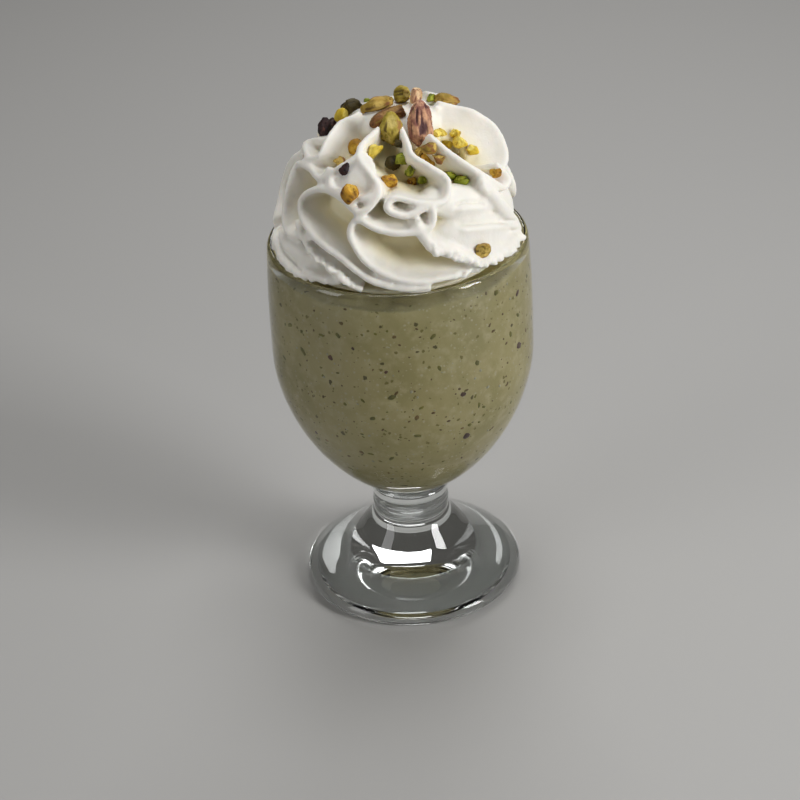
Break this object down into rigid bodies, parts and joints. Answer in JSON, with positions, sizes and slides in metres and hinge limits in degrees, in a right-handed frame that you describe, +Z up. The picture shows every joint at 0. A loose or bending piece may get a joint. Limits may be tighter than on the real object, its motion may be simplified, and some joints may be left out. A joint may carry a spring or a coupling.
{
  "type": "pistachio granita in a stemmed glass",
  "caption": "Granita in a stemmed goblet glass, topped with a ribboned swirl of whipped cream, whole pistachio kernels and chopped nuts.",
  "frame": {"origin": "centre of the ring that the foot stands on, at its height", "axes": "+Z up along the glass's axis, -Y towards the eater, +X to the eater's right"},
  "size_m": [0.084, 0.084, 0.1729],
  "materials": {
    "glass": "clear, smooth, colourless pressed glass",
    "granita": "wet crystals of ice, muted olive, with dark and green flecks",
    "cream": "soft satin, opaque white whipped cream, faintly warm in the troughs",
    "nut_skin": "dry, wrinkled red-brown to purple nut skin",
    "nut_green": "dry, slightly rough yellow-green nut flesh",
    "nut_tan": "dry, rough tan to brown nut with scraps of skin"
  },
  "bodies": {
    "root": {"glass": "glass", "granita": "granita", "whipped_cream": "cream", "kernel_in_skin": "nut_skin", "kernel_green": "nut_green", "kernel_left": "nut_green", "kernel_across": "nut_tan", "kernel_top": "nut_green", "kernel_tip": "nut_skin", "kernel_back_left": "nut_tan", "kernel_far_left": "nut_skin", "kernel_back_right": "nut_green"}
  },
  "joints": []
}
